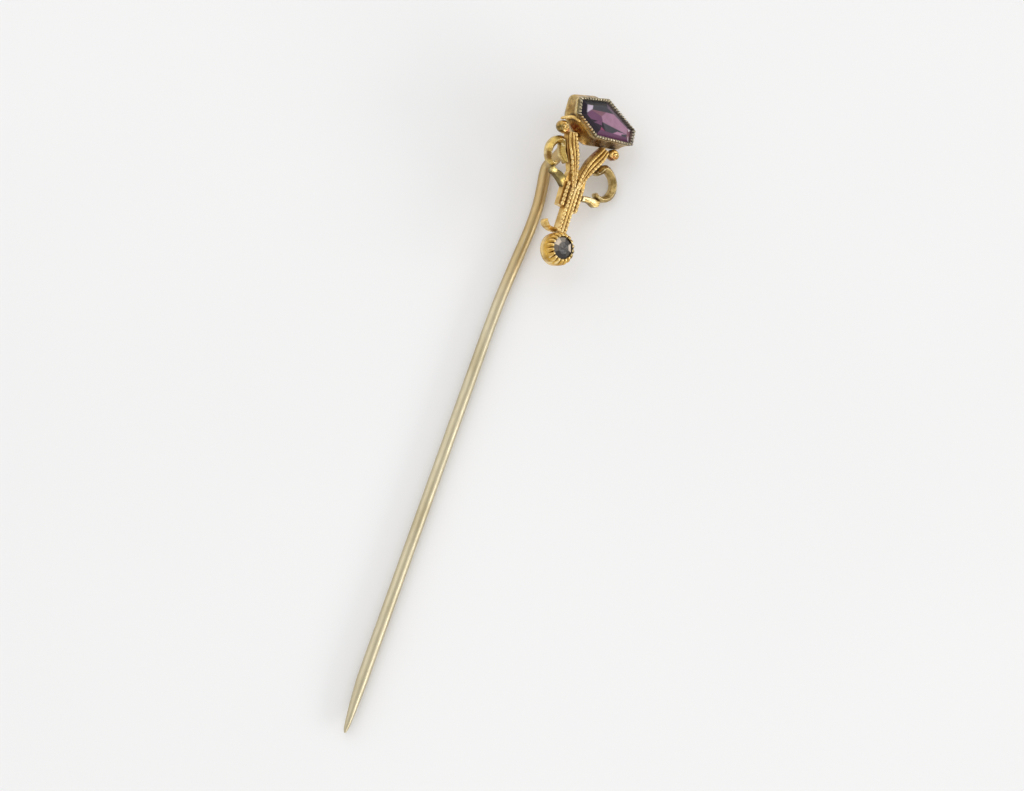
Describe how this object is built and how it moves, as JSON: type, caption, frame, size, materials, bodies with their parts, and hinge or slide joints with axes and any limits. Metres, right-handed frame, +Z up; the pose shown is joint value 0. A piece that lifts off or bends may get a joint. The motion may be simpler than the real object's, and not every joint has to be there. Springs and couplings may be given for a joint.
{
  "type": "hat pin",
  "caption": "Ornamental hat pin: a gilt head of milled bands and scrolls with a purple six-sided stone and a small round clear stone, on a long plain shank.",
  "frame": {"origin": "middle of the pin's footprint on the table it lies on", "axes": "+Z up from the table, +Y along the pin from its point to its head, +X towards the side the head leans to"},
  "size_m": [0.0072, 0.0612, 0.0066],
  "materials": {
    "gilt": "polished gilt, worn and darkened in its recesses",
    "dark_gilt": "gilt tarnished to olive brown",
    "pale_brass": "drawn wire, gilding rubbed thin and pale",
    "purple_paste": "polished facets",
    "clear_paste": "polished facets"
  },
  "bodies": {
    "root": {"pin_shank": "pale_brass", "setting_back_plate": "dark_gilt", "setting_wall": "gilt", "setting_collar": "dark_gilt", "large_stone": "purple_paste", "small_stone": "clear_paste", "stem": "gilt", "stem_ridge_wire": "gilt", "neck_curl": "gilt", "corner_wire": "gilt", "collet_back_plate": "gilt", "collet_cup": "gilt", "right_band": "gilt", "right_band_ridge_wire": "gilt", "right_band_outer_bead_wire": "gilt", "right_band_inner_bead_wire": "gilt", "right_stem_bead_wire": "gilt", "right_flank": "gilt", "right_flank_bead_wire": "gilt", "right_volute": "gilt", "right_scroll": "dark_gilt", "right_leaf": "dark_gilt", "left_band": "gilt", "left_band_ridge_wire": "gilt", "left_band_outer_bead_wire": "gilt", "left_band_inner_bead_wire": "gilt", "left_stem_bead_wire": "gilt", "left_flank": "gilt", "left_flank_bead_wire": "gilt", "left_volute": "gilt", "left_scroll": "dark_gilt", "left_leaf": "dark_gilt"}
  },
  "joints": []
}
